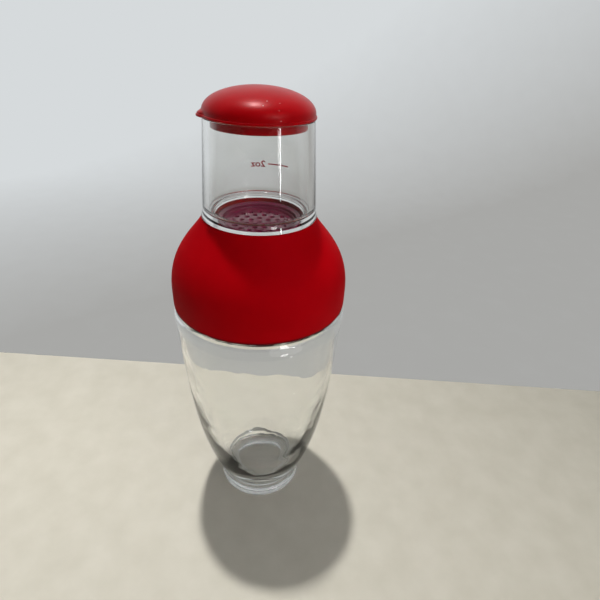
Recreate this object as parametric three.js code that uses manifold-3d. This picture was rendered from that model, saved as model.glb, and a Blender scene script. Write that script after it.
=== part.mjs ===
// Cocktail shaker: a pressed glass body, a domed collar with a strainer in its spout,
// a clear measuring cup over the spout, and a cap that plugs the cup.
// Millimetres, +Z up, origin at the centre of the foot on the table.
import * as THREE from 'three';
import { mergeVertices } from 'three/addons/utils/BufferGeometryUtils.js';
import Module from 'manifold-3d';

// Facets round every revolved piece, the same for all so that nested walls stay parallel
const facets = 40;
// Clearance left between pieces that rest on or slide inside each other
const fitGap = 0.3;

// Glass body
const footRadius = 26.2;
const footHeight = 10;
const waistRadius = 25.4;
const shoulderRadius = 46.6;
const shoulderStart = 131;
const ledgeHeight = 137.3;
const ledgeRadius = 42.8;
const neckRadius = 40.2;
const mouthRadius = 36.6;
const lipHeight = 157;
const cavityRadius = 42.3;
const cavityFloor = 7.5;
const pushUpHeight = 2;
const pushUpRadius = 19.5;

// Collar, whose heights are measured from its lower edge
const collarHeight = 48.8;
const collarRadius = 46.2;
const collarEdgeRadius = 44.5;
const collarTopRadius = 28.6;
const bellyHeight = 11.4;
const shellThickness = 2.4;
// The lower edge lifts outwards, which leaves a shadow line over the glass
const edgeLift = 0.9;
const collarSeat = ledgeHeight + fitGap;

// Liner inside the collar: plug, flange over the glass lip, funnel, and a spout that stands in a round well
const plugRadius = 35;
const plugThickness = 2.6;
const plugBottom = 4.9;
const neckGroove = plugBottom + 3;
const lipFlangeRadius = 41.5;
const lipFlangeThickness = 2.4;
const funnelRadius = 37.6;
const wellRadius = 24;
const wellWall = 1.4;
const wellFloor = 43.6;
const wellFloorThickness = 1.7;
const spoutRadius = 21.4;
const spoutBore = 18.9;
const spoutTop = 47.8;
const spoutFall = 0.8;
const spoutGroove = wellFloor + 0.6;
const strainerSeat = 42.7;
const strainerLedge = 1.4;
const sealGrooveDepth = 1.2;
const neckSealHeight = 4.2;
const spoutSealHeight = 1.5;

// Strainer disc
const strainerThickness = 1.6;
const strainerRimHeight = 1.3;
const strainerRimWidth = 1.1;
const holeDiameter = 2.6;
const holeRings = [
  { radius: 5, count: 6 },
  { radius: 9.4, count: 12 },
  { radius: 13.8, count: 18 },
];

// Measuring cup, whose heights are measured from its wide lower rim
const cupHeight = 45.5;
const cupRimRadius = 28.6;
const cupWallRadius = 28;
const cupTopRadius = 25.35;
const cupWall = 3;
const cupLipHeight = 3;
const cupSocketRadius = 22.2;
const cupSkirtDepth = 4.9;
const cupSeat = collarSeat + collarHeight + fitGap;

// Cap, whose heights are measured from the underside of its flange
const capHeight = 12.5;
const capRadius = 25.6;
const capWall = 2.4;
const capPlugDepth = 4.4;
const capPlugWall = 2.4;
const tabReach = 27.9;
const tabWidth = 10;
const tabThickness = 2.4;
const tabAzimuth = THREE.MathUtils.degToRad(190);
const capSeat = cupSeat + cupHeight + fitGap;

const wasm = await Module();
wasm.setup();

// Half-section of a revolved piece, drawn as straight runs and curves in (radius, height)
class Section {
  constructor(radius, height) {
    this.points = [new THREE.Vector2(radius, height)];
  }

  get end() {
    return this.points[this.points.length - 1];
  }

  line(radius, height) {
    this.points.push(new THREE.Vector2(radius, height));
    return this;
  }

  // Quarter-like bend that leaves along the corner's first side and arrives along its second
  bend(steps, corner, target) {
    const curve = new THREE.QuadraticBezierCurve(
      this.end,
      new THREE.Vector2(...corner),
      new THREE.Vector2(...target),
    );
    this.points.push(...curve.getPoints(steps).slice(1));
    return this;
  }

  // Long sweep with a handle at each end
  sweep(steps, handleA, handleB, target) {
    const curve = new THREE.CubicBezierCurve(
      this.end,
      new THREE.Vector2(...handleA),
      new THREE.Vector2(...handleB),
      new THREE.Vector2(...target),
    );
    this.points.push(...curve.getPoints(steps).slice(1));
    return this;
  }

  // Back to the first point, for a ring that doesn't reach the axis
  close() {
    this.points.push(this.points[0].clone());
    return this;
  }
}

// Merges shared corners and drops the triangles that collapse on the axis
function closedGeometry(geometry) {
  geometry.deleteAttribute('normal');
  geometry.deleteAttribute('uv');
  const merged = mergeVertices(geometry, 1e-4);
  const source = merged.getIndex().array;
  const kept = [];
  for (let i = 0; i < source.length; i += 3) {
    const [a, b, c] = [source[i], source[i + 1], source[i + 2]];
    if (a !== b && b !== c && c !== a) {
      kept.push(a, b, c);
    }
  }
  merged.setIndex(kept);
  merged.computeVertexNormals();
  return merged;
}

// Sections run anticlockwise, out along the underside and up the outside
function revolve(section) {
  const lathe = new THREE.LatheGeometry(section.points, facets);
  lathe.rotateX(Math.PI / 2);
  return closedGeometry(lathe);
}

function toSolid(geometry) {
  const vertProperties = new Float32Array(geometry.getAttribute('position').array);
  const triVerts = new Uint32Array(geometry.getIndex().array);
  return new wasm.Manifold(new wasm.Mesh({ numProp: 3, vertProperties, triVerts }));
}

function fromSolid(solid) {
  const mesh = solid.getMesh();
  const geometry = new THREE.BufferGeometry();
  geometry.setAttribute('position', new THREE.BufferAttribute(new Float32Array(mesh.vertProperties), 3));
  geometry.setIndex(new THREE.BufferAttribute(new Uint32Array(mesh.triVerts), 1));
  geometry.computeVertexNormals();
  return geometry;
}

function piece(name, geometry, material) {
  const mesh = new THREE.Mesh(geometry, material);
  mesh.name = name;
  return mesh;
}

const clearGlass = new THREE.MeshStandardMaterial({
  color: '#dfe5e0', roughness: 0.05, metalness: 0, transparent: true, opacity: 0.35,
});
const clearPlastic = new THREE.MeshStandardMaterial({
  color: '#e6e6e4', roughness: 0.08, metalness: 0, transparent: true, opacity: 0.35,
});
const softRed = new THREE.MeshStandardMaterial({ color: '#8c0610', roughness: 0.55, metalness: 0 });
const satinRed = new THREE.MeshStandardMaterial({ color: '#9a0c14', roughness: 0.4, metalness: 0 });
const mouldedRed = new THREE.MeshStandardMaterial({ color: '#84101c', roughness: 0.3, metalness: 0 });
const paleSilicone = new THREE.MeshStandardMaterial({ color: '#d9d7d2', roughness: 0.6, metalness: 0 });

// Foot with two beads, one long tapered wall, a rounded shoulder, and a neck inside the collar
function glassBody() {
  const beadJoint = footRadius - 0.7;
  const section = new Section(0, pushUpHeight)
    .bend(2, [pushUpRadius * 0.7, pushUpHeight], [pushUpRadius, 0])
    .line(footRadius - 1.8, 0)
    .bend(2, [footRadius, 0], [footRadius, 1.9])
    .bend(2, [footRadius, 3.7], [beadJoint, 4.4])
    .bend(2, [footRadius + 0.1, 4.9], [footRadius + 0.1, 6.6])
    .bend(2, [footRadius + 0.1, 8.4], [waistRadius, footHeight])
    .sweep(9, [40.5, 41.5], [42.7, 78], [shoulderRadius, shoulderStart])
    .sweep(3, [shoulderRadius + 0.2, 134.5], [45.6, ledgeHeight], [ledgeRadius, ledgeHeight])
    .line(neckRadius, ledgeHeight)
    .line(neckRadius, lipHeight - 1.8)
    .bend(2, [neckRadius, lipHeight], [(neckRadius + mouthRadius) / 2, lipHeight])
    .bend(2, [mouthRadius, lipHeight], [mouthRadius, lipHeight - 1.8])
    .line(mouthRadius, 140)
    .sweep(3, [mouthRadius, 134.5], [cavityRadius + 0.4, 133], [cavityRadius, 126])
    .sweep(7, [40.6, 84], [37.2, 40], [21.5, 12])
    .bend(3, [17, cavityFloor], [0, cavityFloor]);
  return piece('glass_body', revolve(section), clearGlass);
}

// Ring with two rounded lips that press on the wall of the glass mouth
function neckSeal() {
  const bottom = neckGroove + fitGap;
  const height = neckSealHeight;
  const inner = plugRadius - sealGrooveDepth + fitGap;
  const outer = mouthRadius - fitGap;
  const root = outer - 0.8;
  const middle = bottom + height / 2;
  const section = new Section(inner, bottom)
    .line(root, bottom)
    .bend(2, [outer, bottom], [outer, bottom + height / 4])
    .bend(2, [outer, middle], [root, middle])
    .bend(2, [outer, middle], [outer, bottom + height * 0.75])
    .bend(2, [outer, bottom + height], [root, bottom + height])
    .line(inner, bottom + height)
    .close();
  return piece('neck_seal', revolve(section), paleSilicone);
}

// Plug with a seal groove, flange over the glass lip, funnel, well, and spout with a ledge for the strainer
function collarLiner() {
  const neckGrooveTop = neckGroove + neckSealHeight + 2 * fitGap;
  const lipTop = lipHeight - collarSeat + fitGap;
  const flangeTop = lipTop + lipFlangeThickness;
  const wellTop = collarHeight - shellThickness - fitGap;
  const wellUnderside = wellFloor - wellFloorThickness;
  const spoutGrooveTop = spoutGroove + spoutSealHeight + 2 * fitGap;
  const plugInside = plugRadius - plugThickness;
  const section = new Section(plugInside, plugBottom)
    .line(plugRadius - 0.5, plugBottom)
    .line(plugRadius, plugBottom + 0.8)
    .line(plugRadius, neckGroove)
    .line(plugRadius - sealGrooveDepth, neckGroove)
    .line(plugRadius - sealGrooveDepth, neckGrooveTop)
    .line(plugRadius, neckGrooveTop)
    .line(plugRadius, lipTop)
    .line(lipFlangeRadius, lipTop)
    .line(lipFlangeRadius, flangeTop)
    .line(funnelRadius, flangeTop)
    .sweep(4, [34, 33], [26, 35], [spoutRadius + 1.2, wellUnderside])
    .line(wellRadius + wellWall, wellUnderside)
    .line(wellRadius + wellWall, wellTop)
    .line(wellRadius, wellTop)
    .line(wellRadius, wellFloor)
    .line(spoutRadius, wellFloor)
    .line(spoutRadius, spoutGroove)
    .line(spoutRadius - sealGrooveDepth, spoutGroove)
    .line(spoutRadius - sealGrooveDepth, spoutGrooveTop)
    .line(spoutRadius, spoutGrooveTop)
    .bend(2, [spoutRadius, spoutTop], [spoutRadius - 0.7, spoutTop])
    .line(spoutBore, spoutTop - spoutFall)
    .line(spoutBore, strainerSeat)
    .line(spoutBore - strainerLedge, strainerSeat)
    .line(spoutBore - strainerLedge, strainerSeat - 1.7)
    .sweep(4, [24, 33], [plugInside, 30], [plugInside, lipTop])
    .close();
  return piece('collar_liner', revolve(section), mouldedRed);
}

// Domed shell: a lower edge that lifts outwards, a full belly, and a flat deck round the well
function collarShell() {
  const deckHole = wellRadius + fitGap;
  const insideTop = collarHeight - shellThickness;
  const section = new Section(collarEdgeRadius - 2.2, 0)
    .line(collarEdgeRadius - 1.3, 0)
    .line(collarEdgeRadius + 0.3, edgeLift)
    .bend(2, [collarRadius - 0.2, edgeLift + 0.3], [collarRadius - 0.1, 3.2])
    .bend(2, [collarRadius, bellyHeight / 2], [collarRadius, bellyHeight])
    .sweep(9, [collarRadius, 32], [33.2, 39.6], [collarTopRadius, collarHeight - 0.6])
    .bend(2, [collarTopRadius - 0.2, collarHeight], [collarTopRadius - 0.9, collarHeight])
    .line(deckHole, collarHeight)
    .line(deckHole, insideTop)
    .line(collarTopRadius - 2.4, insideTop)
    .sweep(6, [30.6, 38.2], [collarRadius - 2.8, 30.9], [collarRadius - shellThickness - 0.2, 12])
    .line(collarRadius - shellThickness - 0.2, 3)
    .close();
  return piece('collar_shell', revolve(section), softRed);
}

// Disc with a raised rim, drilled in rings
function strainer() {
  const radius = spoutBore - fitGap;
  const bottom = strainerSeat + fitGap;
  const top = bottom + strainerThickness;
  const rimTop = top + strainerRimHeight;
  const section = new Section(0, bottom)
    .line(radius, bottom)
    .line(radius, rimTop - 0.3)
    .line(radius - 0.3, rimTop)
    .line(radius - strainerRimWidth + 0.3, rimTop)
    .line(radius - strainerRimWidth, top)
    .line(0, top);
  const drill = new THREE.CylinderGeometry(holeDiameter / 2, holeDiameter / 2, strainerThickness * 3, 8);
  drill.rotateX(Math.PI / 2);
  let disc = toSolid(revolve(section));
  for (const ring of [{ radius: 0, count: 1 }, ...holeRings]) {
    for (let i = 0; i < ring.count; i += 1) {
      const angle = (2 * Math.PI * (i + 0.5)) / ring.count;
      const hole = drill.clone();
      hole.translate(ring.radius * Math.cos(angle), ring.radius * Math.sin(angle), (bottom + top) / 2);
      disc = disc.subtract(toSolid(closedGeometry(hole)));
    }
  }
  return piece('strainer', fromSolid(disc), mouldedRed);
}

// Ring in the groove of the spout, rounded where it grips the cup
function spoutSeal() {
  const bottom = spoutGroove + fitGap;
  const height = spoutSealHeight;
  const inner = spoutRadius - sealGrooveDepth + fitGap;
  const outer = cupSocketRadius - fitGap;
  const section = new Section(inner, bottom)
    .line(outer - 0.6, bottom)
    .bend(2, [outer, bottom], [outer, bottom + height / 2])
    .bend(2, [outer, bottom + height], [outer - 0.6, bottom + height])
    .line(inner, bottom + height)
    .close();
  return piece('spout_seal', revolve(section), paleSilicone);
}

// Tapered cup with a flared foot, and an inward lip whose skirt goes down into the well round the spout
function measuringCup() {
  const insideTop = cupTopRadius - cupWall;
  const insideBottom = cupWallRadius - cupWall;
  const skirtRadius = wellRadius - fitGap - 0.1;
  const section = new Section(cupSocketRadius, -cupSkirtDepth)
    .line(skirtRadius - 0.4, -cupSkirtDepth)
    .line(skirtRadius, -cupSkirtDepth + 0.6)
    .line(skirtRadius, 0)
    .line(cupRimRadius - 0.5, 0)
    .bend(2, [cupRimRadius, 0], [cupRimRadius, 0.5])
    .bend(3, [cupWallRadius + 0.1, 1.6], [cupWallRadius - 0.15, 4])
    .line(cupTopRadius, cupHeight - 0.6)
    .bend(2, [cupTopRadius, cupHeight], [cupTopRadius - 0.6, cupHeight])
    .line(insideTop + 0.4, cupHeight)
    .line(insideTop, cupHeight - 0.4)
    .line(insideBottom - 0.2, cupLipHeight + 3)
    .bend(4, [insideBottom, cupLipHeight], [cupSocketRadius + 0.5, cupLipHeight])
    .bend(2, [cupSocketRadius, cupLipHeight], [cupSocketRadius, cupLipHeight - 0.5])
    .close();
  return piece('measuring_cup', revolve(section), clearPlastic);
}

// Hollow dome with a plug skirt, and a tongue-shaped pull tab at its edge
function cap() {
  const plugOuter = cupTopRadius - cupWall - fitGap;
  const plugInner = plugOuter - capPlugWall;
  const inside = capHeight - capWall;
  const section = new Section(plugInner, -capPlugDepth)
    .line(plugOuter - 0.4, -capPlugDepth)
    .line(plugOuter, -capPlugDepth + 0.5)
    .line(plugOuter, 0)
    .line(capRadius - 1.7, 0)
    .bend(2, [capRadius - 0.3, 0], [capRadius - 0.1, 1.8])
    .sweep(8, [capRadius + 0.6, 8.6], [12.2, capHeight], [0, capHeight])
    .line(0, inside)
    .sweep(5, [10.5, inside], [plugInner, inside - 1], [plugInner, 1])
    .close();
  const tongue = new THREE.Shape();
  const root = capRadius - 2;
  const half = tabWidth / 2;
  tongue.moveTo(root, -half);
  tongue.bezierCurveTo(tabReach - 1.4, -half, tabReach, -half * 0.7, tabReach, 0);
  tongue.bezierCurveTo(tabReach, half * 0.7, tabReach - 1.4, half, root, half);
  tongue.closePath();
  const bevel = 0.7;
  const tab = new THREE.ExtrudeGeometry(tongue, {
    depth: tabThickness - 2 * bevel,
    curveSegments: 6,
    bevelEnabled: true,
    bevelThickness: bevel,
    bevelSize: bevel,
    bevelOffset: -bevel,
    bevelSegments: 2,
  });
  tab.translate(0, 0, bevel + 0.2);
  tab.rotateZ(tabAzimuth);
  const body = toSolid(revolve(section)).add(toSolid(closedGeometry(tab)));
  return piece('cap', fromSolid(body), satinRed);
}

// Each part of the stack stands on the one before it
const capGroup = new THREE.Group();
capGroup.position.z = capSeat - cupSeat;
capGroup.add(cap());

const cupGroup = new THREE.Group();
cupGroup.position.z = cupSeat - collarSeat;
cupGroup.add(measuringCup(), capGroup);

const collarGroup = new THREE.Group();
collarGroup.position.z = collarSeat;
collarGroup.add(collarShell(), collarLiner(), neckSeal(), strainer(), spoutSeal(), cupGroup);

const shaker = new THREE.Group();
shaker.add(glassBody(), collarGroup);

export default shaker;
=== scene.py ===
import math
import bmesh
import bpy
from mathutils import Matrix, Vector, noise


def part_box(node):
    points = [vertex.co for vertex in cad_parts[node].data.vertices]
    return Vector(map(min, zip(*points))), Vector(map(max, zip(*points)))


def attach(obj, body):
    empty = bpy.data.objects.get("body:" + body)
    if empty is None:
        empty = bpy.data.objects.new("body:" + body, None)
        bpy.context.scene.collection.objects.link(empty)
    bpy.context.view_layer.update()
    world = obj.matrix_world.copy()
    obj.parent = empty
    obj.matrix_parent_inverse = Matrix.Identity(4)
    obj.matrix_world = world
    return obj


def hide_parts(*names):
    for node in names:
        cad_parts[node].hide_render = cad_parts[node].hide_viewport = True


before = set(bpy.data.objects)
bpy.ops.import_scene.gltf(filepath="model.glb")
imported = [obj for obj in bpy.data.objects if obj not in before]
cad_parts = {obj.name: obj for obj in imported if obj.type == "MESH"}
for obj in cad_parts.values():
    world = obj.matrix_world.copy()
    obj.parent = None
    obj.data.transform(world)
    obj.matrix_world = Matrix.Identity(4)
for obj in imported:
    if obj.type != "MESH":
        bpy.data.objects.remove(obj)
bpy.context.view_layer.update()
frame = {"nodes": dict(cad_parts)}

mm = 0.001
turnSteps = 160  # facets round a turned piece
axisRadius = 1e-6  # a point nearer to the axis than this lies on it
bpy.context.scene.view_settings.view_transform = "Standard"
print("frame loaded:", ", ".join(frame["nodes"]))

# Heights above the table, in millimetres
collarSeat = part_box("collar_shell")[0].z / mm
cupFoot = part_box("measuring_cup")[0].z / mm
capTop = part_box("cap")[1].z / mm


def hexColour(text):
    parts = [int(text[i:i + 2], 16) / 255 for i in (1, 3, 5)]
    linear = [c / 12.92 if c <= 0.04045 else ((c + 0.055) / 1.055) ** 2.4 for c in parts]
    return (*linear, 1.0)


# Adds one node: plain settings by keyword, socket values and links by the socket's name or number
def addNode(tree, kind, values=None, links=None, **settings):
    node = tree.nodes.new(kind)
    for name, value in settings.items():
        setattr(node, name, value)
    for name, value in (values or {}).items():
        node.inputs[name].default_value = value
    for name, output in (links or {}).items():
        tree.links.new(output, node.inputs[name])
    return node


# A material with its Object coordinates and its shader, whose own sockets take the values
def startMaterial(name, values):
    material = bpy.data.materials.new(name)
    material.use_nodes = True
    tree = material.node_tree
    tree.nodes.clear()
    place = addNode(tree, "ShaderNodeTexCoord").outputs["Object"]
    shader = addNode(tree, "ShaderNodeBsdfPrincipled", values)
    addNode(tree, "ShaderNodeOutputMaterial", links={"Surface": shader.outputs["BSDF"]}, name="result")
    return material, tree, place, shader


# Sets a ramp's two stops, each as (level of the pattern, colour)
def setStops(ramp, *stops):
    for stop, (level, colour) in zip(ramp.color_ramp.elements, stops):
        stop.position = level
        stop.color = hexColour(colour)


# Noise cells per metre for a feature of this many millimetres
def cellScale(size):
    return 1 / (size * mm)


# Light reaches what lies behind and under a clear piece, except where it only grazes the wall
def letLightThrough(tree, shader):
    rays = addNode(tree, "ShaderNodeLightPath").outputs
    slant = addNode(tree, "ShaderNodeLayerWeight", {"Blend": 0.5})
    steep = addNode(tree, "ShaderNodeMapRange",
                    {"From Min": 0.4, "From Max": 0.65, "To Min": 1.0, "To Max": 0.0},
                    {"Value": slant.outputs["Facing"]})
    lamps = addNode(tree, "ShaderNodeMath", operation="MULTIPLY",
                    links={0: rays["Is Shadow Ray"], 1: steep.outputs["Result"]})
    passes = addNode(tree, "ShaderNodeMath", operation="MAXIMUM",
                     links={0: lamps.outputs["Value"], 1: rays["Is Diffuse Ray"]})
    clear = addNode(tree, "ShaderNodeBsdfTransparent", {"Color": hexColour("#ffffff")})
    both = addNode(tree, "ShaderNodeMixShader", links={0: passes.outputs["Value"], 1: shader.outputs["BSDF"],
                                                       2: clear.outputs["BSDF"]})
    tree.links.new(both.outputs["Shader"], tree.nodes["result"].inputs["Surface"])


# Pressed soda-lime glass: clear, faintly green where it is thick, rippled like still water, with a worn foot
def pressedGlass():
    values = {"Transmission Weight": 1.0, "IOR": 1.52}
    material, tree, place, shader = startMaterial("pressed_soda_lime_glass", values)
    tint = addNode(tree, "ShaderNodeTexNoise", {"Scale": cellScale(30), "Detail": 1.0}, {"Vector": place})
    tintRamp = addNode(tree, "ShaderNodeValToRGB", links={"Fac": tint.outputs["Fac"]})
    setStops(tintRamp, (0.3, "#fdfefd"), (0.7, "#ffffff"))
    smear = addNode(tree, "ShaderNodeTexNoise", {"Scale": cellScale(9), "Detail": 4.0}, {"Vector": place})
    haze = addNode(tree, "ShaderNodeMapRange",
                   {"From Min": 0.45, "From Max": 0.8, "To Min": 0.0, "To Max": 0.05},
                   {"Value": smear.outputs["Fac"]})
    height = addNode(tree, "ShaderNodeSeparateXYZ", links={"Vector": place})
    worn = addNode(tree, "ShaderNodeMapRange",
                   {"From Min": 0.3 * mm, "From Max": 1.8 * mm, "To Min": 0.32, "To Max": 0.0},
                   {"Value": height.outputs["Z"]})
    dull = addNode(tree, "ShaderNodeMath", operation="MAXIMUM",
                   links={0: haze.outputs["Result"], 1: worn.outputs["Result"]})
    # Painted shade: a broken dark line on the ledge where the collar sits, standing for the shade in the gap
    # under the collar's edge
    ledge = addNode(tree, "ShaderNodeMath", {1: (collarSeat - 0.3) * mm, 2: 0.25 * mm},
                    {0: height.outputs["Z"]}, operation="COMPARE")
    shadeBreaks = addNode(tree, "ShaderNodeMapRange",
                     {"From Min": 0.3, "From Max": 0.55, "To Min": 0.2, "To Max": 1.0},
                     {"Value": smear.outputs["Fac"]})
    ledgeShade = addNode(tree, "ShaderNodeMath", operation="MULTIPLY",
                    links={0: ledge.outputs["Value"], 1: shadeBreaks.outputs["Result"]})
    shadedColour = addNode(tree, "ShaderNodeMix", data_type="RGBA", values={7: hexColour("#2c1a1a")},
                    links={0: ledgeShade.outputs["Value"], 6: tintRamp.outputs["Color"]})
    ripple = addNode(tree, "ShaderNodeTexNoise", {"Scale": cellScale(13), "Detail": 1.5}, {"Vector": place})
    bump = addNode(tree, "ShaderNodeBump", {"Strength": 0.4, "Distance": 0.3 * mm},
                   {"Height": ripple.outputs["Fac"]})
    tree.links.new(shadedColour.outputs[2], shader.inputs["Base Color"])
    tree.links.new(dull.outputs["Value"], shader.inputs["Roughness"])
    tree.links.new(bump.outputs["Normal"], shader.inputs["Normal"])
    depth = addNode(tree, "ShaderNodeVolumeAbsorption", {"Color": hexColour("#e2e8e3"), "Density": 5.0})
    tree.links.new(depth.outputs["Volume"], tree.nodes["result"].inputs["Volume"])
    letLightThrough(tree, shader)
    return material


# Clear moulded acrylic: hard and bright, with the fine upright scuffs of years in a drawer
def clearAcrylic():
    values = {"Transmission Weight": 1.0, "IOR": 1.49}
    material, tree, place, shader = startMaterial("clear_moulded_acrylic", values)
    tint = addNode(tree, "ShaderNodeTexNoise", {"Scale": cellScale(20), "Detail": 1.0}, {"Vector": place})
    tintRamp = addNode(tree, "ShaderNodeValToRGB", links={"Fac": tint.outputs["Fac"]})
    setStops(tintRamp, (0.3, "#f4f4f2"), (0.7, "#fbfbfa"))
    upright = addNode(tree, "ShaderNodeMapping", {"Scale": (1.0, 1.0, 0.2)}, {"Vector": place})
    scuff = addNode(tree, "ShaderNodeTexNoise", {"Scale": cellScale(1.6), "Detail": 3.0},
                    {"Vector": upright.outputs["Vector"]})
    haze = addNode(tree, "ShaderNodeMapRange",
                   {"From Min": 0.55, "From Max": 0.85, "To Min": 0.01, "To Max": 0.1},
                   {"Value": scuff.outputs["Fac"]})
    tree.links.new(tintRamp.outputs["Color"], shader.inputs["Base Color"])
    tree.links.new(haze.outputs["Result"], shader.inputs["Roughness"])
    letLightThrough(tree, shader)
    return material


# Soft-touch coated plastic: a dull velvety red, with painted shade: a dark line along its lower edge, where
# it stands over the glass
def softTouchRed():
    values = {"IOR": 1.5, "Specular IOR Level": 0.05, "Specular Tint": hexColour("#ff80d0")}
    material, tree, place, shader = startMaterial("soft_touch_red_plastic", values)
    cloud = addNode(tree, "ShaderNodeTexNoise", {"Scale": cellScale(14), "Detail": 3.0}, {"Vector": place})
    cloudRamp = addNode(tree, "ShaderNodeValToRGB", links={"Fac": cloud.outputs["Fac"]})
    setStops(cloudRamp, (0.3, "#b40008"), (0.7, "#bc010b"))
    height = addNode(tree, "ShaderNodeSeparateXYZ", links={"Vector": place})
    # Painted shade: the colour darkens over the lowest few millimetres, standing for the shadow gap over the
    # glass
    edgeShade = addNode(tree, "ShaderNodeMapRange",
                   {"From Min": (collarSeat + 1.8) * mm, "From Max": (collarSeat + 3.2) * mm,
                    "To Min": 0.85, "To Max": 0.0}, {"Value": height.outputs["Z"]})
    shadedColour = addNode(tree, "ShaderNodeMix", data_type="RGBA", values={7: hexColour("#180204")},
                    links={0: edgeShade.outputs["Result"], 6: cloudRamp.outputs["Color"]})
    smudge = addNode(tree, "ShaderNodeTexNoise", {"Scale": cellScale(24), "Detail": 2.0}, {"Vector": place})
    dull = addNode(tree, "ShaderNodeMapRange",
                   {"From Min": 0.3, "From Max": 0.7, "To Min": 0.62, "To Max": 0.72},
                   {"Value": smudge.outputs["Fac"]})
    # The real grain is about 0.1 mm and is drawn at 0.6 mm, so that it shows in the render
    grain = addNode(tree, "ShaderNodeTexNoise", {"Scale": cellScale(0.6), "Detail": 2.0}, {"Vector": place})
    bump = addNode(tree, "ShaderNodeBump", {"Strength": 0.12, "Distance": 0.05 * mm},
                   {"Height": grain.outputs["Fac"]})
    tree.links.new(shadedColour.outputs[2], shader.inputs["Base Color"])
    tree.links.new(dull.outputs["Result"], shader.inputs["Roughness"])
    tree.links.new(bump.outputs["Normal"], shader.inputs["Normal"])
    return material


# Satin silicone rubber: a warm red with a soft shine, which holds specks of dust
def satinSilicone():
    values = {"IOR": 1.43, "Specular IOR Level": 0.27, "Specular Tint": hexColour("#ffa4a4")}
    material, tree, place, shader = startMaterial("satin_red_silicone", values)
    cloud = addNode(tree, "ShaderNodeTexNoise", {"Scale": cellScale(10), "Detail": 3.0}, {"Vector": place})
    cloudRamp = addNode(tree, "ShaderNodeValToRGB", links={"Fac": cloud.outputs["Fac"]})
    setStops(cloudRamp, (0.3, "#ab010a"), (0.7, "#b5020d"))
    dust = addNode(tree, "ShaderNodeTexVoronoi", {"Scale": cellScale(2.4)}, {"Vector": place})
    drift = addNode(tree, "ShaderNodeTexNoise", {"Scale": cellScale(12), "Detail": 1.0}, {"Vector": place})
    # A speck is the middle of a cell, and shows only where dust has drifted on the front of the dome
    speckSize = addNode(tree, "ShaderNodeMapRange",
                        {"From Min": 0.42, "From Max": 0.6, "To Min": 0.0, "To Max": 0.15},
                        {"Value": drift.outputs["Fac"]})
    forward = addNode(tree, "ShaderNodeVectorMath", {1: (0.45, -0.75, 1)}, {0: place},
                      operation="DOT_PRODUCT")
    onFront = addNode(tree, "ShaderNodeMapRange",
                      {"From Min": (capTop + 10) * mm, "From Max": (capTop + 12) * mm},
                      {"Value": forward.outputs["Value"]})
    shownSize = addNode(tree, "ShaderNodeMath", operation="MULTIPLY",
                        links={0: speckSize.outputs["Result"], 1: onFront.outputs["Result"]})
    speck = addNode(tree, "ShaderNodeMath", operation="LESS_THAN",
                    links={0: dust.outputs["Distance"], 1: shownSize.outputs["Value"]})
    dusted = addNode(tree, "ShaderNodeMix", data_type="RGBA", values={7: hexColour("#efe0dc")},
                     links={0: speck.outputs["Value"], 6: cloudRamp.outputs["Color"]})
    smudge = addNode(tree, "ShaderNodeTexNoise", {"Scale": cellScale(16), "Detail": 3.0}, {"Vector": place})
    satin = addNode(tree, "ShaderNodeMapRange",
                    {"From Min": 0.3, "From Max": 0.7, "To Min": 0.3, "To Max": 0.37},
                    {"Value": smudge.outputs["Fac"]})
    grain = addNode(tree, "ShaderNodeTexNoise", {"Scale": cellScale(0.8), "Detail": 2.0}, {"Vector": place})
    bump = addNode(tree, "ShaderNodeBump", {"Strength": 0.1, "Distance": 0.05 * mm},
                   {"Height": grain.outputs["Fac"]})
    tree.links.new(dusted.outputs[2], shader.inputs["Base Color"])
    tree.links.new(satin.outputs["Result"], shader.inputs["Roughness"])
    tree.links.new(bump.outputs["Normal"], shader.inputs["Normal"])
    return material


# Moulded ABS: a glossy dark red with the faint flow marks of the mould, which glints along its edges
def mouldedRed():
    values = {"IOR": 1.53}
    material, tree, place, shader = startMaterial("moulded_red_abs", values)
    flow = addNode(tree, "ShaderNodeTexNoise", {"Scale": cellScale(7), "Detail": 3.0, "Distortion": 0.6},
                   {"Vector": place})
    flowRamp = addNode(tree, "ShaderNodeValToRGB", links={"Fac": flow.outputs["Fac"]})
    setStops(flowRamp, (0.3, "#8e1048"), (0.7, "#9a184e"))
    shine = addNode(tree, "ShaderNodeMapRange",
                    {"From Min": 0.3, "From Max": 0.7, "To Min": 0.08, "To Max": 0.16},
                    {"Value": flow.outputs["Fac"]})
    tree.links.new(flowRamp.outputs["Color"], shader.inputs["Base Color"])
    tree.links.new(shine.outputs["Result"], shader.inputs["Roughness"])
    return material


# Pale silicone: milky and half clear, with a dull skin
def paleSilicone():
    values = {"IOR": 1.43, "Subsurface Weight": 0.3, "Subsurface Scale": 1.5 * mm}
    material, tree, place, shader = startMaterial("pale_milky_silicone", values)
    milk = addNode(tree, "ShaderNodeTexNoise", {"Scale": cellScale(5), "Detail": 2.0}, {"Vector": place})
    milkRamp = addNode(tree, "ShaderNodeValToRGB", links={"Fac": milk.outputs["Fac"]})
    setStops(milkRamp, (0.3, "#d3d0c9"), (0.7, "#dfddd8"))
    skin = addNode(tree, "ShaderNodeMapRange",
                   {"From Min": 0.3, "From Max": 0.7, "To Min": 0.45, "To Max": 0.6},
                   {"Value": milk.outputs["Fac"]})
    tree.links.new(milkRamp.outputs["Color"], shader.inputs["Base Color"])
    tree.links.new(skin.outputs["Result"], shader.inputs["Roughness"])
    return material


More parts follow.
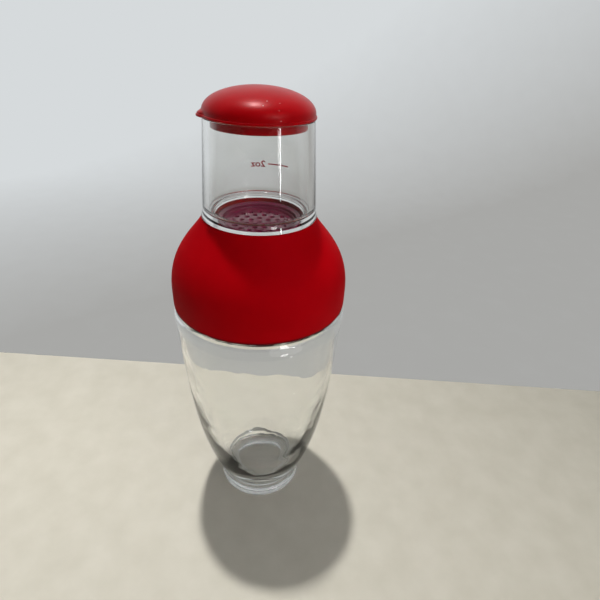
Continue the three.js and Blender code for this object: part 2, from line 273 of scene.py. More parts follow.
# Pad-printed ink: a thin dull red film, a little uneven where the pad lifted
def printInk():
    values = {"IOR": 1.5, "Roughness": 0.5, "Transmission Weight": 0.8}
    material, tree, place, shader = startMaterial("pad_printed_red_ink", values)
    pad = addNode(tree, "ShaderNodeTexNoise", {"Scale": cellScale(0.7), "Detail": 2.0}, {"Vector": place})
    padRamp = addNode(tree, "ShaderNodeValToRGB", links={"Fac": pad.outputs["Fac"]})
    setStops(padRamp, (0.35, "#b41828"), (0.65, "#c42434"))
    tree.links.new(padRamp.outputs["Color"], shader.inputs["Base Color"])
    return material


finishes = {
    "clear_glass": pressedGlass(),
    "clear_plastic": clearAcrylic(),
    "soft_touch_red": softTouchRed(),
    "satin_red": satinSilicone(),
    "moulded_red": mouldedRed(),
    "pale_silicone": paleSilicone(),
}
print("materials made:", len(finishes))


# A point on a curve that any number of handles draws
def bezierPoint(handles, t):
    while len(handles) > 1:
        handles = [a.lerp(b, t) for a, b in zip(handles, handles[1:])]
    return handles[0]


# Half-section of a turned piece in (radius, height). A run of one point is a straight line,
# of two a bend round a corner, and of three a long sweep with a handle at each end.
def traceSection(start, *runs, step=0.8):
    points = [Vector(start)]
    for run in runs:
        handles = [points[-1], *(Vector(point) for point in run)]
        reach = sum((b - a).length for a, b in zip(handles, handles[1:]))
        count = 1 if len(run) == 1 else max(6, round(reach / step))
        points += [bezierPoint(handles, i / count) for i in range(1, count + 1)]
    return points


# Corners that turn by more than this many degrees get a round, no longer than a share of their sides
cornerSizes = {"turn": 25, "share": 0.3, "margin": 1.5, "steps": 4}


# Trades each sharp corner for a small round with a margin beside it, so that edges catch the light
def softenCorners(points, radius, s):
    softened = []
    for i, point in enumerate(points):
        before = points[i - 1] - point
        after = points[(i + 1) % len(points)] - point
        onAxis = point.x < axisRadius
        turn = 0 if onAxis else math.pi - before.angle(after)
        if turn < math.radians(s["turn"]):
            softened.append(point)
            continue
        cut = min(radius * math.tan(turn / 2), before.length * s["share"], after.length * s["share"])
        back = before.normalized() * cut
        ahead = after.normalized() * cut
        handles = [point + back, point, point + ahead]
        softened.append(point + back * s["margin"])
        softened += [bezierPoint(handles, k / s["steps"]) for k in range(s["steps"] + 1)]
        softened.append(point + ahead * s["margin"])
    return softened


# A closed piece turned about the axis: the section closes on itself or along the axis
def turnPiece(name, points, base, finish, edge=0.25):
    shell = bmesh.new()
    rings = []
    for radius, height in softenCorners(points, edge, cornerSizes):
        spots = 1 if radius < axisRadius else turnSteps
        ring = []
        for i in range(spots):
            angle = 2 * math.pi * i / spots
            spot = Vector((radius * math.cos(angle), radius * math.sin(angle), base + height))
            ring.append(shell.verts.new(spot * mm))
        rings.append(ring)
    for low, high in zip(rings, rings[1:] + rings[:1]):
        for i in range(turnSteps):
            k = i + 1
            corners = [low[i % len(low)], low[k % len(low)], high[k % len(high)], high[i % len(high)]]
            corners = list(dict.fromkeys(corners))
            if len(corners) > 2:
                shell.faces.new(corners)
    bmesh.ops.recalc_face_normals(shell, faces=shell.faces)
    for face in shell.faces:
        face.smooth = True
    mesh = bpy.data.meshes.new(name)
    shell.to_mesh(mesh)
    shell.free()
    piece = bpy.data.objects.new(name, mesh)
    bpy.context.scene.collection.objects.link(piece)
    mesh.materials.append(finishes[finish])
    return piece


# Foot with two beads, long tapered wall, rounded shoulder, and a neck that the collar hides
glassSizes = {
    "footRadius": 26.2, "footHeight": 10, "waistRadius": 25.4,
    "lowerBead": 1.9, "upperBead": 6.6,  # heights of the beads' middles
    "beadRound": 1.8, "beadProud": 0.1, "grooveHeight": 4.4, "grooveDepth": 0.7, "grooveEase": 0.5,
    "shoulderRadius": 46.55, "shoulderStart": 131, "ledgeRadius": 42.8, "ledgeHeight": 137.3,
    "neckRadius": 40.2, "mouthRadius": 36.6, "lipHeight": 157, "mouthFoot": 140,
    # Handles of the sweeps: wall and shoulder outside, wall and throat inside
    "wallSweep": [(40.5, 41.5), (42.7, 78)], "shoulderSweep": [(46.75, 135.2), (46.2, 137.3)],
    "cavitySweep": [(40.6, 84), (36.3, 40)], "throatSweep": [(36.6, 134.5), (42.7, 133)],
    "cavityRadius": 42.3, "cavityTop": 126, "heel": (20.7, 12.8), "cavityFloor": 7.5, "floorRadius": 16,
    "pushUpHeight": 2, "pushUpRadius": 19.5, "pushUpFlat": 0.7,
    "rippleSize": 22, "rippleDepth": 0.25, "rippleFrom": 13.5, "rippleTo": 128,  # the wavy inner wall
}


def makeGlass(s):
    foot, beadRound, groove = s["footRadius"], s["beadRound"], s["grooveHeight"]
    lower, upper, bead = s["lowerBead"], s["upperBead"], foot + s["beadProud"]
    neck, mouth, lip = s["neckRadius"], s["mouthRadius"], s["lipHeight"]
    ledge, floor = s["ledgeHeight"], s["cavityFloor"]
    lipRound = (neck - mouth) / 2
    points = traceSection(
        (0, s["pushUpHeight"]),
        [(s["pushUpRadius"] * s["pushUpFlat"], s["pushUpHeight"]), (s["pushUpRadius"], 0)],
        [(foot - beadRound, 0)],
        [(foot, 0), (foot, lower)],
        [(foot, lower + beadRound), (foot - s["grooveDepth"], groove)],
        [(bead, groove + s["grooveEase"]), (bead, upper)],
        [(bead, upper + beadRound), (s["waistRadius"], s["footHeight"])],
        [*s["wallSweep"], (s["shoulderRadius"], s["shoulderStart"])],
        [*s["shoulderSweep"], (s["ledgeRadius"], ledge)],
        [(neck, ledge)],
        [(neck, lip - lipRound)],
        [(neck, lip), (neck - lipRound, lip)],
        [(mouth, lip), (mouth, lip - lipRound)],
        [(mouth, s["mouthFoot"])],
        [*s["throatSweep"], (s["cavityRadius"], s["cavityTop"])],
        [*s["cavitySweep"], s["heel"]],
        [(s["floorRadius"], floor), (0, floor)],
    )
    return turnPiece("pressed_glass_body", points, 0, "clear_glass", edge=0.5)


# The inner wall wavers in and out by a fraction of a millimetre
def rippleCavity(piece, s):
    cell = cellScale(s["rippleSize"])
    low, high = s["rippleFrom"] * mm, s["rippleTo"] * mm
    inside = [v for v in piece.data.vertices if low < v.co.z < high and v.co.xy.dot(v.normal.xy) < 0]
    for vertex in inside:
        outwards = Vector((*vertex.co.xy.normalized(), 0))
        vertex.co += outwards * noise.noise(vertex.co * cell) * s["rippleDepth"] * mm


glassBody = makeGlass(glassSizes)
rippleCavity(glassBody, glassSizes)
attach(glassBody, "glass")
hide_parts("glass_body")
print("glass made")


# Collar: the domed shell, the liner with plug, funnel and spout, and the two seals.
# Heights are measured from the shell's lower edge.
collarSizes = {
    "height": 48.8, "radius": 46.2, "topRadius": 28.6, "shell": 2.4, "belly": 11.4,
    "edgeFrom": 42.3, "edgeTo": 43.2, "edgeStep": (44.8, 0.9), "edgeBend": [(46, 1.2), (46.1, 3.2)],
    "crownDrop": 0.6, "crownEase": 0.2, "crownRound": 0.9,
    "insideRadius": 43.6, "insideFoot": 3, "insideBelly": 12,
    "domeShoulder": (46.2, 32), "domeCrown": (33.2, 39.6),  # handles of the dome's sweep, outside and inside
    "insideShoulder": (43.4, 30.9), "insideCrown": (30.6, 38.2),
    "plugRadius": 35, "plugWall": 2.6, "plugBottom": 4.9, "plugChamfer": (0.5, 0.8), "funnelRadius": 37.6,
    "funnelSweep": [(34, 33), (26, 35)], "funnelTop": 22.6, "throat": (24, 33), "throatFoot": 30,
    "lipFlange": 41.5, "lipFlangeThickness": 2.4,
    "wellRadius": 24, "wellWall": 1.4, "wellFloor": 43.6, "wellFloorThickness": 1.7,
    "spoutRadius": 21.4, "spoutBore": 18.9, "spoutTop": 47.8, "spoutFall": 0.8, "spoutRound": 0.7,
    "strainerSeat": 42.7, "ledgeWidth": 1.4, "ledgeThickness": 1.7,
    "neckGroove": 7.9, "neckSeal": 4.2, "neckSealLip": 0.8,
    "spoutGroove": 44.2, "spoutSeal": 1.5, "spoutSealLip": 0.6, "grooveDepth": 1.2, "gap": 0.3,
}


def makeShell(s):
    outer, top, height = s["radius"], s["topRadius"], s["height"]
    inside = height - s["shell"]
    hole = s["wellRadius"] + s["gap"]
    wall = s["insideRadius"]
    points = traceSection(
        (s["edgeFrom"], 0),
        [(s["edgeTo"], 0)],
        [s["edgeStep"]],
        s["edgeBend"],
        [(outer, s["belly"] / 2), (outer, s["belly"])],
        [s["domeShoulder"], s["domeCrown"], (top, height - s["crownDrop"])],
        [(top - s["crownEase"], height), (top - s["crownRound"], height)],
        [(hole, height)],
        [(hole, inside)],
        [(top - s["shell"], inside)],
        [s["insideCrown"], s["insideShoulder"], (wall, s["insideBelly"])],
        [(wall, s["insideFoot"])],
    )
    return turnPiece("collar_dome", points, collarSeat, "soft_touch_red")


def makeLiner(s):
    plug, wall, bottom, groove = s["plugRadius"], s["plugWall"], s["plugBottom"], s["grooveDepth"]
    spout, bore, spoutTop = s["spoutRadius"], s["spoutBore"], s["spoutTop"]
    lipTop = glassSizes["lipHeight"] - collarSeat + s["gap"]
    flangeTop = lipTop + s["lipFlangeThickness"]
    well, wellFloor = s["wellRadius"], s["wellFloor"]
    wellTop = s["height"] - s["shell"] - s["gap"]
    wellUnder = wellFloor - s["wellFloorThickness"]
    neckGroove, spoutGroove = s["neckGroove"], s["spoutGroove"]
    neckGrooveTop = neckGroove + s["neckSeal"] + 2 * s["gap"]
    spoutGrooveTop = spoutGroove + s["spoutSeal"] + 2 * s["gap"]
    seat = s["strainerSeat"]
    chamferIn, chamferUp = s["plugChamfer"]
    points = traceSection(
        (plug - wall, bottom),
        [(plug - chamferIn, bottom)],
        [(plug, bottom + chamferUp)],
        [(plug, neckGroove)],
        [(plug - groove, neckGroove)],
        [(plug - groove, neckGrooveTop)],
        [(plug, neckGrooveTop)],
        [(plug, lipTop)],
        [(s["lipFlange"], lipTop)],
        [(s["lipFlange"], flangeTop)],
        [(s["funnelRadius"], flangeTop)],
        [*s["funnelSweep"], (s["funnelTop"], wellUnder)],
        [(well + s["wellWall"], wellUnder)],
        [(well + s["wellWall"], wellTop)],
        [(well, wellTop)],
        [(well, wellFloor)],
        [(spout, wellFloor)],
        [(spout, spoutGroove)],
        [(spout - groove, spoutGroove)],
        [(spout - groove, spoutGrooveTop)],
        [(spout, spoutGrooveTop)],
        [(spout, spoutTop), (spout - s["spoutRound"], spoutTop)],
        [(bore, spoutTop - s["spoutFall"])],
        [(bore, seat)],
        [(bore - s["ledgeWidth"], seat)],
        [(bore - s["ledgeWidth"], seat - s["ledgeThickness"])],
        [s["throat"], (plug - wall, s["throatFoot"]), (plug - wall, lipTop)],
    )
    return turnPiece("collar_liner_moulding", points, collarSeat, "moulded_red", edge=0.2)


# Ring with two rounded lips that press on the mouth of the glass
def makeNeckSeal(s):
    bottom = s["neckGroove"] + s["gap"]
    height = s["neckSeal"]
    inner = s["plugRadius"] - s["grooveDepth"] + s["gap"]
    outer = glassSizes["mouthRadius"] - s["gap"]
    root = outer - s["neckSealLip"]
    middle = bottom + height / 2
    points = traceSection(
        (inner, bottom),
        [(root, bottom)],
        [(outer, bottom), (outer, bottom + height / 4)],
        [(outer, middle), (root, middle)],
        [(outer, middle), (outer, bottom + height * 0.75)],
        [(outer, bottom + height), (root, bottom + height)],
        [(inner, bottom + height)],
        step=0.3,
    )
    return turnPiece("neck_seal_ring", points, collarSeat, "pale_silicone", edge=0.15)


# Ring that stands in the groove of the spout and grips the cup
def makeSpoutSeal(s, socketRadius):
    bottom = s["spoutGroove"] + s["gap"]
    height = s["spoutSeal"]
    inner = s["spoutRadius"] - s["grooveDepth"] + s["gap"]
    outer = socketRadius - s["gap"]
    root = outer - s["spoutSealLip"]
    points = traceSection(
        (inner, bottom),
        [(root, bottom)],
        [(outer, bottom), (outer, bottom + height / 2)],
        [(outer, bottom + height), (root, bottom + height)],
        [(inner, bottom + height)],
        step=0.2,
    )
    return turnPiece("spout_seal_ring", points, collarSeat, "satin_red", edge=0.12)


# Measuring cup, with its wide end down and a skirt that goes into the collar's well.
# Heights are measured from the wide end.
cupSizes = {
    "height": 45.5, "rimRadius": 28.6, "wallRadius": 28, "topRadius": 25.35, "wall": 3,
    "wallFoot": 4, "footFlare": 0.15, "rimRound": 0.6,  # where the straight wall starts and ends
    "footRound": 0.5, "flareHandle": (28.1, 1.6), "rimChamfer": 0.4,
    "lipHeight": 3, "insideRise": 3, "insideFlare": 0.2,
    "socketRadius": 22.2, "skirtRadius": 23.6, "skirtDepth": 4.9, "skirtChamfer": (0.4, 0.6),
}
cupSeat = cupFoot + cupSizes["skirtDepth"]


def makeCup(s):
    rim, wide, top, height = s["rimRadius"], s["wallRadius"], s["topRadius"], s["height"]
    lip, socket = s["lipHeight"], s["socketRadius"]
    skirt, depth = s["skirtRadius"], s["skirtDepth"]
    rimRound, rimChamfer, footRound = s["rimRound"], s["rimChamfer"], s["footRound"]
    chamferIn, chamferUp = s["skirtChamfer"]
    insideTop = top - s["wall"]
    insideWide = wide - s["wall"]
    points = traceSection(
        (socket, -depth),
        [(skirt - chamferIn, -depth)],
        [(skirt, chamferUp - depth)],
        [(skirt, 0)],
        [(rim - footRound, 0)],
        [(rim, 0), (rim, footRound)],
        [s["flareHandle"], (wide - s["footFlare"], s["wallFoot"])],
        [(top, height - rimRound)],
        [(top, height), (top - rimRound, height)],
        [(insideTop + rimChamfer, height)],
        [(insideTop, height - rimChamfer)],
        [(insideWide - s["insideFlare"], lip + s["insideRise"])],
        [(insideWide, lip), (socket + footRound, lip)],
        [(socket, lip), (socket, lip - footRound)],
        step=0.3,
    )
    return turnPiece("clear_measuring_cup", points, cupSeat, "clear_plastic", edge=0.2)


collarPieces = {
    "collar_shell": makeShell(collarSizes),
    "collar_liner": makeLiner(collarSizes),
    "neck_seal": makeNeckSeal(collarSizes),
    "spout_seal": makeSpoutSeal(collarSizes, cupSizes["socketRadius"]),
}
for node, piece in collarPieces.items():
    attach(piece, "collar")
    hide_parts(node)
cup = makeCup(cupSizes)
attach(cup, "cup")
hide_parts("measuring_cup")
print("collar, seals and cup made")


# Strainer: a turned disc with a raised rim, drilled in rings by geometry nodes
strainerSizes = {
    "thickness": 1.6, "rimHeight": 1.3, "rimWidth": 1.1, "rimRound": 0.3,
    "holeDiameter": 2.6, "holeFlare": 0.25, "holeSides": 24, "sharpAngle": 30,
    "rings": [(5, 6), (9.4, 12), (13.8, 18)],  # radius and number of holes, round one in the middle
}


def turnStrainer(s, bottom):
    radius = collarSizes["spoutBore"] - collarSizes["gap"]
    top = bottom + s["thickness"]
    rimTop = top + s["rimHeight"]
    inner = radius - s["rimWidth"]
    points = traceSection(
        (0, bottom),
        [(radius, bottom)],
        [(radius, rimTop - s["rimRound"])],
        [(radius - s["rimRound"], rimTop)],
        [(inner + s["rimRound"], rimTop)],
        [(inner, top)],
        [(0, top)],
    )
    return turnPiece("strainer_disc", points, 0, "moulded_red", edge=0.15)


# One hole in the middle and rings of holes round it, cut right through the disc.
# Each is a straight bore with a cone at either face, so that its edges are eased.
def drillTree(s, sizes):
    tree = bpy.data.node_groups.new("strainer_holes", "GeometryNodeTree")
    tree.interface.new_socket("Geometry", in_out="INPUT", socket_type="NodeSocketGeometry")
    for name in sizes:
        tree.interface.new_socket(name, in_out="INPUT", socket_type="NodeSocketFloat")
    tree.interface.new_socket("Geometry", in_out="OUTPUT", socket_type="NodeSocketGeometry")
    given = addNode(tree, "NodeGroupInput").outputs
    centre = addNode(tree, "GeometryNodeMeshLine", {"Count": 1})
    spots = addNode(tree, "GeometryNodeJoinGeometry", links={0: centre.outputs["Mesh"]})
    for radius, count in s["rings"]:
        ring = addNode(tree, "GeometryNodeMeshCircle", {"Vertices": count, "Radius": radius * mm})
        turned = addNode(tree, "GeometryNodeTransform", {"Rotation": (0, 0, math.pi / count)},
                         {"Geometry": ring.outputs["Mesh"]})
        tree.links.new(turned.outputs["Geometry"], spots.inputs[0])
    sides = {"Vertices": s["holeSides"]}
    bore = addNode(tree, "GeometryNodeMeshCylinder", sides,
                   {"Radius": given["Hole Radius"], "Depth": given["Bore Length"]})
    upper = addNode(tree, "GeometryNodeMeshCone", sides,
                    {"Radius Bottom": given["Hole Radius"], "Radius Top": given["Flare Radius"],
                     "Depth": given["Flare Length"]})
    lower = addNode(tree, "GeometryNodeMeshCone", sides,
                    {"Radius Bottom": given["Flare Radius"], "Radius Top": given["Hole Radius"],
                     "Depth": given["Flare Length"]})
    cut = addNode(tree, "GeometryNodeMeshBoolean", operation="DIFFERENCE", solver="MANIFOLD",
                  links={"Mesh 1": given["Geometry"]})
    for drill, height in ((bore, "Bore Height"), (upper, "Upper Height"), (lower, "Lower Height")):
        drills = addNode(tree, "GeometryNodeInstanceOnPoints",
                         links={"Points": spots.outputs[0], "Instance": drill.outputs["Mesh"]})
        lift = addNode(tree, "ShaderNodeCombineXYZ", links={"Z": given[height]})
        raised = addNode(tree, "GeometryNodeTransform", links={"Geometry": drills.outputs["Instances"],
                                                               "Translation": lift.outputs["Vector"]})
        tree.links.new(raised.outputs["Geometry"], cut.inputs["Mesh 2"])
    real = addNode(tree, "GeometryNodeRealizeInstances", links={"Geometry": cut.outputs["Mesh"]})
    finish = addNode(tree, "GeometryNodeSetMaterial", {"Material": finishes["moulded_red"]},
                     {"Geometry": real.outputs["Geometry"]})
    addNode(tree, "NodeGroupOutput", links={0: finish.outputs["Geometry"]})
    return tree


# Drills the disc and keeps the result as a plain mesh
def drillStrainer(disc, s, bottom):
    top = bottom + s["thickness"]
    radius, flare = s["holeDiameter"] / 2, s["holeFlare"]
    sizes = {
        "Hole Radius": radius, "Bore Length": s["thickness"] * 2, "Bore Height": (bottom + top) / 2,
        "Flare Radius": radius + 2 * flare, "Flare Length": 2 * flare,
        "Upper Height": top - flare, "Lower Height": bottom - flare,
    }
    tree = drillTree(s, sizes)
    drilling = disc.modifiers.new("holes", "NODES")
    drilling.node_group = tree
    for item in tree.interface.items_tree:
        if item.name in sizes:
            drilling[item.identifier] = sizes[item.name] * mm
    shown = disc.evaluated_get(bpy.context.evaluated_depsgraph_get())
    drilled = bpy.data.meshes.new_from_object(shown)
    disc.modifiers.clear()
    disc.data = drilled
    for face in drilled.polygons:
        face.use_smooth = True
    drilled.set_sharp_from_angle(angle=math.radians(s["sharpAngle"]))


strainerBottom = collarSeat + collarSizes["strainerSeat"] + collarSizes["gap"]
strainer = turnStrainer(strainerSizes, strainerBottom)
drillStrainer(strainer, strainerSizes, strainerBottom)
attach(strainer, "collar")
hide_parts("strainer")
print("strainer drilled:", len(strainer.data.polygons), "faces")


# Cap: a hollow dome with a plug skirt, whose edge draws out into a pull tab.
# Heights are measured from the underside of its flange.
capSizes = {
    "height": 12.5, "radius": 25.6, "wall": 2.4, "plugDepth": 4.4, "plugWall": 2.4,
    "plugChamfer": (0.4, 0.5),
    "seatDrop": 0.25,  # the flange sits down on the cup's rim
    "flangeFlat": 25, "bead": 0.4, "beadFoot": 0.3, "beadHead": 0.9, "beadTop": (25.75, 0.95),
    "domeFoot": (25.5, 1.1), "hollowFoot": 1,
    "domeShoulder": (26.2, 8.6), "domeCrown": 12.2,  # handles of the dome's sweep, outside and inside
    "hollowRadius": 10.5, "hollowDrop": 1,
    "tabReach": 27.9, "tabThickness": 2.6, "tabHalfAngle": 14, "tabAzimuth": 190,
    "tabRoot": 2, "tabLowest": -0.5,  # begins this far inside the cup's rim, above this height
    "tabPoint": 1.5, "tabFade": (0.5, 1.1),  # fades out upwards between these shares of its thickness
}


def makeCap(s, base):
    height, depth = s["height"], s["plugDepth"]
    plug = cupSizes["topRadius"] - cupSizes["wall"] - collarSizes["gap"]
    inner = plug - s["plugWall"]
    inside = height - s["wall"]
    drop = s["seatDrop"]
    edge = s["radius"] + s["bead"]
    chamferIn, chamferUp = s["plugChamfer"]
    points = traceSection(
        (inner, -depth),
        [(plug - chamferIn, -depth)],
        [(plug, chamferUp - depth)],
        [(plug, -drop)],
        [(s["flangeFlat"], -drop)],
        [(edge, -drop), (edge, s["beadFoot"])],
        [(edge, s["beadHead"]), s["beadTop"]],
        [s["domeFoot"]],
        [s["domeShoulder"], (s["domeCrown"], height), (0, height)],
        [(0, inside)],
        [(s["hollowRadius"], inside), (inner, inside - s["hollowDrop"]), (inner, s["hollowFoot"])],
        step=0.35,
    )
    return turnPiece("domed_cap", points, base, "satin_red", edge=0.2)


# Smooth step from 0 to 1 between two values
def easeStep(value, low, high):
    t = min(1, max(0, (value - low) / (high - low)))
    return t * t * (3 - 2 * t)


# Pulls the lower edge out into a rounded tongue
def drawTab(cap, s, base):
    middle = math.radians(s["tabAzimuth"])
    reach = s["tabReach"] - s["radius"] - s["bead"]
    rootRadius = cupSizes["topRadius"] - s["tabRoot"]
    fadeFrom, fadeTo = (share * s["tabThickness"] for share in s["tabFade"])
    for vertex in cap.data.vertices:
        flat = Vector((vertex.co.x, vertex.co.y, 0)) / mm
        height = vertex.co.z / mm - base
        turn = math.degrees(math.atan2(flat.y, flat.x) - middle)
        turn = abs((turn + 180) % 360 - 180)
        if turn > s["tabHalfAngle"] or height < s["tabLowest"] or flat.length < rootRadius:
            continue
        across = math.cos(turn / s["tabHalfAngle"] * math.pi / 2) ** s["tabPoint"]
        up = 1 - easeStep(height, fadeFrom, fadeTo)
        out = easeStep(flat.length, rootRadius, s["radius"])
        vertex.co += flat.normalized() * reach * across * up * out * mm


capBase = capTop - capSizes["height"]
cap = makeCap(capSizes, capBase)
drawTab(cap, capSizes, capBase)
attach(cap, "cap")
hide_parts("cap")
print("cap made")


# Measure mark printed on the back of the cup, to be read from behind.
# Height is measured from the cup's foot; places run from the middle of the back, towards +X.
markSizes = {
    "height": 17.7, "tickFrom": 5, "tickTo": 17.5, "tickWidth": 0.6, "tickSteps": 24, "text": "2oz",
    "textFrom": 3.4, "textTo": -5, "textHeight": 3.4, "bold": 0.02, "lift": 0.05, "film": 0.06,
}


# Outer radius of the cup at a height above its foot
def cupRadius(height):
    s = cupSizes
    low = s["wallRadius"] - s["footFlare"]
    share = (height - s["wallFoot"]) / (s["height"] - s["rimRound"] - s["wallFoot"])
    return low + (s["topRadius"] - low) * share


# The letters as a flat mesh, at whatever size the font gives
def flatLetters(s):
    letters = bpy.data.curves.new("measure_letters", "FONT")
    letters.body = s["text"]
    letters.extrude = s["film"] / 2
    letters.offset = s["bold"]
    flat = bpy.data.objects.new("measure_letters", letters)
    bpy.context.scene.collection.objects.link(flat)
    shown = flat.evaluated_get(bpy.context.evaluated_depsgraph_get())
    mesh = bpy.data.meshes.new_from_object(shown)
    bpy.data.objects.remove(flat)
    return mesh


# Stretches the letters to their place on the print
def placeLetters(marks, s):
    low = Vector(min(v.co[i] for v in marks.verts) for i in range(3))
    high = Vector(max(v.co[i] for v in marks.verts) for i in range(3))
    size = high - low
    stretch = Vector(((s["textTo"] - s["textFrom"]) / size.x, s["textHeight"] / size.y, 1))
    for vertex in marks.verts:
        share = (vertex.co - low) * stretch
        vertex.co = Vector((s["textFrom"], -s["textHeight"] / 2, 0)) + share


# A closed strip of short lengths, so that it can follow the cup
def addTick(marks, s):
    half, film = s["tickWidth"] / 2, s["film"]
    strip = []
    for i in range(s["tickSteps"] + 1):
        along = s["tickFrom"] + (s["tickTo"] - s["tickFrom"]) * i / s["tickSteps"]
        corners = [(along, -half, 0), (along, half, 0), (along, half, film), (along, -half, film)]
        strip.append([marks.verts.new(corner) for corner in corners])
    for a, b in zip(strip, strip[1:]):
        for i in range(4):
            marks.faces.new((a[i], a[i - 1], b[i - 1], b[i]))
    marks.faces.new(strip[0])
    marks.faces.new(strip[-1])


# Lays the flat print, x along it and y up, on the back of the cup
def wrapOnCup(marks, s):
    for vertex in marks.verts:
        along, up, out = vertex.co
        height = s["height"] + up
        radius = cupRadius(height) + s["lift"] + out
        angle = math.pi / 2 - along / radius
        vertex.co = Vector((radius * math.cos(angle), radius * math.sin(angle), cupSeat + height)) * mm


def printMark(s):
    mesh = flatLetters(s)
    marks = bmesh.new()
    marks.from_mesh(mesh)
    placeLetters(marks, s)
    addTick(marks, s)
    bmesh.ops.remove_doubles(marks, verts=marks.verts, dist=1e-4)
    wrapOnCup(marks, s)
    marks.normal_update()
    bmesh.ops.recalc_face_normals(marks, faces=marks.faces)
    marks.to_mesh(mesh)
    marks.free()
    mesh.materials.clear()
    mesh.materials.append(printInk())
    piece = bpy.data.objects.new("measure_mark", mesh)
    bpy.context.scene.collection.objects.link(piece)
    return piece


measureMark = printMark(markSizes)
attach(measureMark, "cup")
print("measure mark printed")


# Stage: a pale floor whose far edge lies behind the shaker, and a paler sweep that runs on from it
stageSizes = {
    "edgeMiddle": (0, 104), "edgeTurn": -7.3, "reach": 2600, "floorDrop": 0.2,
    "floorLow": "#cac4b3", "floorHigh": "#d2ccbc",
    "sweepUnder": 40, "sweepFlat": 500, "sweepRadius": 250, "sweepSteps": 16, "sweepHeight": 900,
    "sweepDrop": 2,
    "sweepShadedTone": "#a8a8a6", "sweepLitTone": "#d6dadc", "sweepLightSlant": (-0.6, 1, 1), "sweepLightFade": (300, 1000),
}


# Matt board: warm and pale, with the faint mottling of a printed surface
def paleBoard(s):
    material, tree, place, shader = startMaterial("warm_pale_board", {"Roughness": 0.6})
    mottle = addNode(tree, "ShaderNodeTexNoise", {"Scale": cellScale(18), "Detail": 5.0}, {"Vector": place})
    mottleRamp = addNode(tree, "ShaderNodeValToRGB", links={"Fac": mottle.outputs["Fac"]})
    setStops(mottleRamp, (0.3, s["floorLow"]), (0.7, s["floorHigh"]))
    tree.links.new(mottleRamp.outputs["Color"], shader.inputs["Base Color"])
    return material


# Paper sweep: cool and pale, glowing by itself the same whatever the lamps do, with painted light that grows
# lighter to the upper left
def palePaper(s):
    material, tree, place, shader = startMaterial("cool_pale_paper", {"Roughness": 0.6})
    mottle = addNode(tree, "ShaderNodeTexNoise", {"Scale": cellScale(30), "Detail": 4.0}, {"Vector": place})
    # Painted light: the paper grows lighter towards the upper left and darker low at the front, standing for
    # the fall of light on a wall
    along = addNode(tree, "ShaderNodeVectorMath", {1: s["sweepLightSlant"]}, {0: place}, operation="DOT_PRODUCT")
    low, high = s["sweepLightFade"]
    paintedLightFade = addNode(tree, "ShaderNodeMapRange", {"From Min": low * mm, "From Max": high * mm},
                   {"Value": along.outputs["Value"]})
    uneven = addNode(tree, "ShaderNodeMath", {1: 0.08},
                     {0: mottle.outputs["Fac"], 2: paintedLightFade.outputs["Result"]}, operation="MULTIPLY_ADD")
    paper = addNode(tree, "ShaderNodeValToRGB", links={"Fac": uneven.outputs["Value"]})
    setStops(paper, (0.04, s["sweepShadedTone"]), (1.0, s["sweepLitTone"]))
    tree.links.new(paper.outputs["Color"], shader.inputs["Base Color"])
    glow = addNode(tree, "ShaderNodeEmission", links={"Color": paper.outputs["Color"]})
    rays = addNode(tree, "ShaderNodeLightPath").outputs
    passedOn = addNode(tree, "ShaderNodeMath", operation="MAXIMUM",
                       links={0: rays["Is Glossy Ray"], 1: rays["Is Transmission Ray"]})
    seen = addNode(tree, "ShaderNodeMath", operation="MAXIMUM",
                   links={0: rays["Is Camera Ray"], 1: passedOn.outputs["Value"]})
    both = addNode(tree, "ShaderNodeMixShader",
                   links={0: seen.outputs["Value"], 1: shader.outputs["BSDF"], 2: glow.outputs["Emission"]})
    tree.links.new(both.outputs["Shader"], tree.nodes["result"].inputs["Surface"])
    return material


# A sheet drawn along a path of (distance behind the edge, height), as wide as the stage
def stageSheet(name, path, material, s):
    mesh = bpy.data.meshes.new(name)
    turn = Matrix.Rotation(math.radians(s["edgeTurn"]), 4, "Z")
    place = Matrix.Translation(Vector((*s["edgeMiddle"], 0))) @ turn
    corners = []
    for back, height in path:
        for side in (-1, 1):
            corners.append(place @ Vector((side * s["reach"], back, height)) * mm)
    faces = [(2 * i, 2 * i + 1, 2 * i + 3, 2 * i + 2) for i in range(len(path) - 1)]
    mesh.from_pydata(corners, [], faces)
    mesh.materials.append(material)
    for face in mesh.polygons:
        face.use_smooth = True
    sheet = bpy.data.objects.new(name, mesh)
    bpy.context.scene.collection.objects.link(sheet)


def makeStage(s):
    floor = [(-s["reach"], -s["floorDrop"]), (0, -s["floorDrop"])]
    stageSheet("stage_floor", floor, paleBoard(s), s)
    bend, flat, drop = s["sweepRadius"], s["sweepFlat"], s["sweepDrop"]
    arc = []
    for i in range(s["sweepSteps"] + 1):
        angle = i / s["sweepSteps"] * math.pi / 2
        arc.append((flat + bend * math.sin(angle), bend * (1 - math.cos(angle)) - drop))
    sweep = [(-s["sweepUnder"], -drop), *arc, (flat + bend, s["sweepHeight"])]
    stageSheet("stage_sweep", sweep, palePaper(s), s)


makeStage(stageSizes)
print("stage set")


# Camera at the photograph's viewpoint, in millimetres and degrees
viewPoint = {
    "place": (0, -216, 266.64), "pitch": 31.017, "roll": 2.836, "yaw": 5.92, "lens": 27.06, "sensor": 36,
    "nearest": 10,
}


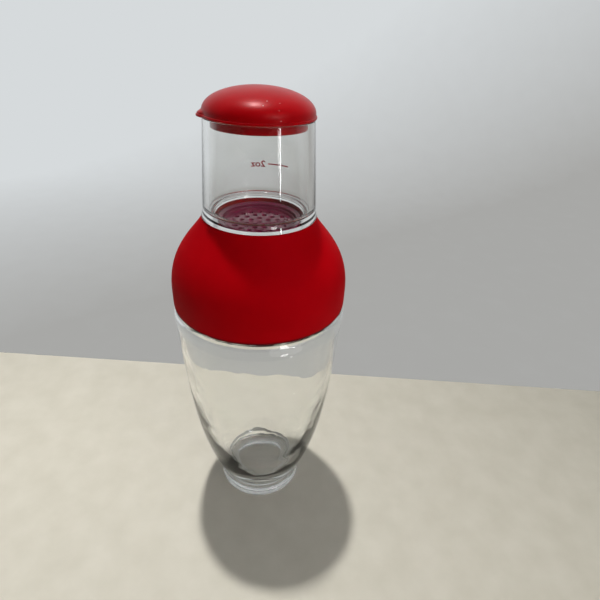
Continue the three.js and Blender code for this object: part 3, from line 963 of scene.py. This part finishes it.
def placeCamera(v):
    data = bpy.data.cameras.new("photo_camera")
    data.lens = v["lens"]
    data.sensor_width = v["sensor"]
    data.clip_start = v["nearest"] * mm
    camera = bpy.data.objects.new("photo_camera", data)
    bpy.context.scene.collection.objects.link(camera)
    heading = Matrix.Rotation(math.radians(-v["yaw"]), 4, "Z")
    tilt = Matrix.Rotation(math.radians(90 - v["pitch"]), 4, "X")
    lean = Matrix.Rotation(math.radians(v["roll"]), 4, "Z")
    camera.matrix_world = Matrix.Translation(Vector(v["place"]) * mm) @ heading @ tilt @ lean
    bpy.context.scene.camera = camera


placeCamera(viewPoint)

# Light: one high lamp a little behind, a weak fill, a soft card and a slim strip in front on the right,
# and a room that is pale behind
lightSizes = {
    "aim": (0, 0, 120),
    "highFrom": (-0.07, 0.235, 0.97), "highAim": (-180, 30, 0), "highDistance": 3500,
    "highSize": 170, "highPower": 1.8, "highSpread": 25,
    "stripAzimuth": 40, "stripDistance": 620, "stripHeight": 200, "stripWidth": 26, "stripTall": 210,
    "stripPower": 0.26,
    "fillFrom": (0.5, -0.75, 0.5), "fillDistance": 2500, "fillSize": 500, "fillPower": 0.42,
    "fillSpread": 40,
    "cardPlace": (320, -420, 580), "cardAim": (0, 0, 150), "cardSize": 500, "cardPower": 0.8,
    "roomFront": "#35383a", "roomBack": "#b4b7ba", "roomStrength": 0.8, "roomSeen": "#a9acae",
}


def addLamp(name, shape, sizes, place, aim, power, spread=180):
    data = bpy.data.lights.new(name, "AREA")
    data.shape = shape
    data.size = sizes[0] * mm
    data.size_y = sizes[-1] * mm
    data.energy = power
    data.spread = math.radians(spread)
    lamp = bpy.data.objects.new(name, data)
    bpy.context.scene.collection.objects.link(lamp)
    lamp.location = place * mm
    lamp.rotation_euler = (aim - place).to_track_quat("-Z", "Y").to_euler()


def makeLamps(s):
    aim = Vector(s["aim"])
    high = aim + Vector(s["highFrom"]).normalized() * s["highDistance"]
    pool = Vector(s["highAim"])
    addLamp("high_lamp", "DISK", [s["highSize"]], high, pool, s["highPower"], s["highSpread"])
    fill = aim + Vector(s["fillFrom"]).normalized() * s["fillDistance"]
    addLamp("fill_lamp", "DISK", [s["fillSize"]], fill, aim, s["fillPower"], s["fillSpread"])
    card = Vector(s["cardPlace"])
    addLamp("card_lamp", "DISK", [s["cardSize"]], card, Vector(s["cardAim"]), s["cardPower"])
    azimuth = math.radians(s["stripAzimuth"])
    strip = Vector((math.sin(azimuth), -math.cos(azimuth), 0)) * s["stripDistance"]
    strip.z = s["stripHeight"]
    level = Vector((0, 0, s["stripHeight"]))
    addLamp("strip_lamp", "ELLIPSE", [s["stripWidth"], s["stripTall"]], strip, level, s["stripPower"])


# The room grows paler from the front, where the viewer stands, to the back
def makeRoom(s):
    world = bpy.data.worlds.new("pale_room")
    world.use_nodes = True
    tree = world.node_tree
    tree.nodes.clear()
    towards = addNode(tree, "ShaderNodeTexCoord").outputs["Generated"]
    axes = addNode(tree, "ShaderNodeSeparateXYZ", links={"Vector": towards})
    depth = addNode(tree, "ShaderNodeMapRange", {"From Min": -1.0, "From Max": 1.0},
                    {"Value": axes.outputs["Y"]})
    room = addNode(tree, "ShaderNodeValToRGB", links={"Fac": depth.outputs["Result"]})
    setStops(room, (0.2, s["roomFront"]), (0.7, s["roomBack"]))
    glow = addNode(tree, "ShaderNodeBackground", {"Strength": s["roomStrength"]},
                   {"Color": room.outputs["Color"]})
    # Through a clear piece, all but the front of the room is as pale as it is seen plainly
    through = addNode(tree, "ShaderNodeValToRGB", links={"Fac": depth.outputs["Result"]})
    setStops(through, (0.1, s["roomFront"]), (0.35, s["roomSeen"]))
    clear = addNode(tree, "ShaderNodeBackground", links={"Color": through.outputs["Color"]})
    seen = addNode(tree, "ShaderNodeBackground", {"Color": hexColour(s["roomSeen"])})
    rays = addNode(tree, "ShaderNodeLightPath").outputs
    both = addNode(tree, "ShaderNodeMixShader", links={0: rays["Is Transmission Ray"],
                                                       1: glow.outputs["Background"],
                                                       2: clear.outputs["Background"]})
    shown = addNode(tree, "ShaderNodeMixShader", links={0: rays["Is Camera Ray"], 1: both.outputs["Shader"],
                                                        2: seen.outputs["Background"]})
    addNode(tree, "ShaderNodeOutputWorld", links={"Surface": shown.outputs["Shader"]})
    bpy.context.scene.world = world


makeLamps(lightSizes)
makeRoom(lightSizes)
print("light set")
